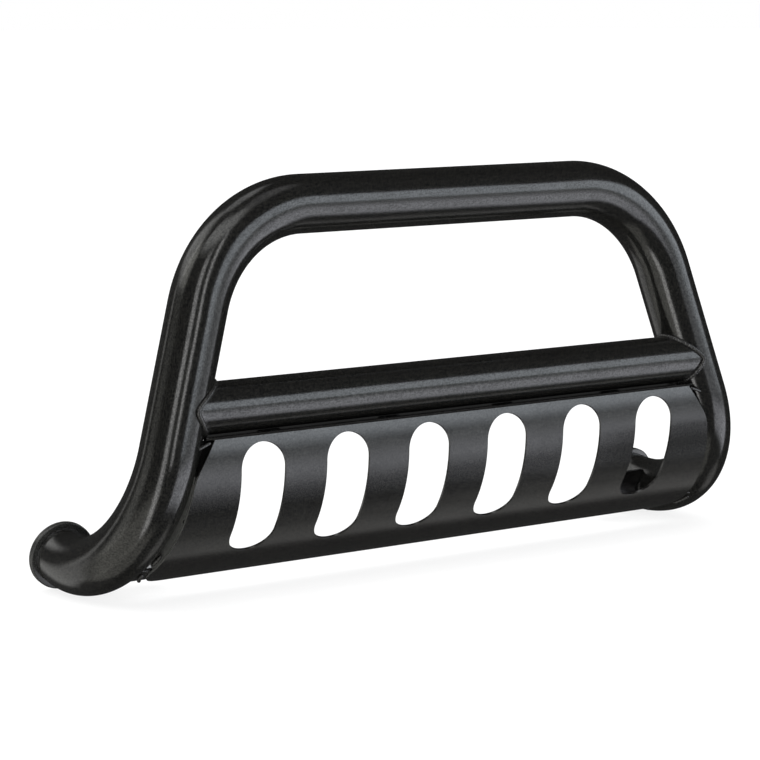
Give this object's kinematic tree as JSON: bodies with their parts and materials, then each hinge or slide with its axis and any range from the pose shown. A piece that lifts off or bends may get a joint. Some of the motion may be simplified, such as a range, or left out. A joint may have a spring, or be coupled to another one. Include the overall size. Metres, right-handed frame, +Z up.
{
  "type": "front grille guard",
  "caption": "Bent tube grille guard for a truck's front: hoop with coped cross tube, slotted rolled skid plate, end caps and bolted frame brackets.",
  "frame": {"origin": "on the ground plane under the guard, midway between its two sides and between its front and back", "axes": "+X to the truck's right side as seen when looking back at the truck from in front of it, +Y back towards the truck, +Z up"},
  "size_m": [1.0542, 0.2447, 0.5284],
  "materials": {
    "bar_coat": "gloss black powder coat on bent steel tube",
    "plate_coat": "gloss black powder coat on rolled steel sheet",
    "bracket_coat": "satin black powder coat on folded and flat steel",
    "weld_coat": "powder coated weld beads with ripples",
    "cap_plastic": "moulded black plastic, fine satin texture",
    "fastener_zinc": "zinc plated fasteners"
  },
  "bodies": {
    "root": {"hoop_tube": "bar_coat", "cross_tube": "bar_coat", "skid_plate": "plate_coat", "saddle_weld_left": "weld_coat", "end_cap_left": "cap_plastic", "skid_side_return_left": "plate_coat", "side_return_weld_left": "weld_coat", "skid_lower_tab_left": "plate_coat", "lower_tab_weld_left": "weld_coat", "skid_upper_bracket_left": "bracket_coat", "upper_bracket_weld_left": "weld_coat", "corner_tack_left": "weld_coat", "mounting_plate_left": "bracket_coat", "mounting_plate_weld_left": "weld_coat", "frame_bracket_left": "bracket_coat", "bolt_left_1": "fastener_zinc", "front_washer_left_1": "fastener_zinc", "back_washer_left_1": "fastener_zinc", "nut_left_1": "fastener_zinc", "bolt_left_2": "fastener_zinc", "front_washer_left_2": "fastener_zinc", "back_washer_left_2": "fastener_zinc", "nut_left_2": "fastener_zinc", "saddle_weld_right": "weld_coat", "end_cap_right": "cap_plastic", "skid_side_return_right": "plate_coat", "side_return_weld_right": "weld_coat", "skid_lower_tab_right": "plate_coat", "lower_tab_weld_right": "weld_coat", "skid_upper_bracket_right": "bracket_coat", "upper_bracket_weld_right": "weld_coat", "corner_tack_right": "weld_coat", "mounting_plate_right": "bracket_coat", "mounting_plate_weld_right": "weld_coat", "frame_bracket_right": "bracket_coat", "bolt_right_1": "fastener_zinc", "front_washer_right_1": "fastener_zinc", "back_washer_right_1": "fastener_zinc", "nut_right_1": "fastener_zinc", "bolt_right_2": "fastener_zinc", "front_washer_right_2": "fastener_zinc", "back_washer_right_2": "fastener_zinc", "nut_right_2": "fastener_zinc", "flange_stitch_weld_1": "weld_coat", "flange_stitch_weld_2": "weld_coat", "flange_stitch_weld_3": "weld_coat", "flange_stitch_weld_4": "weld_coat"}
  },
  "joints": []
}
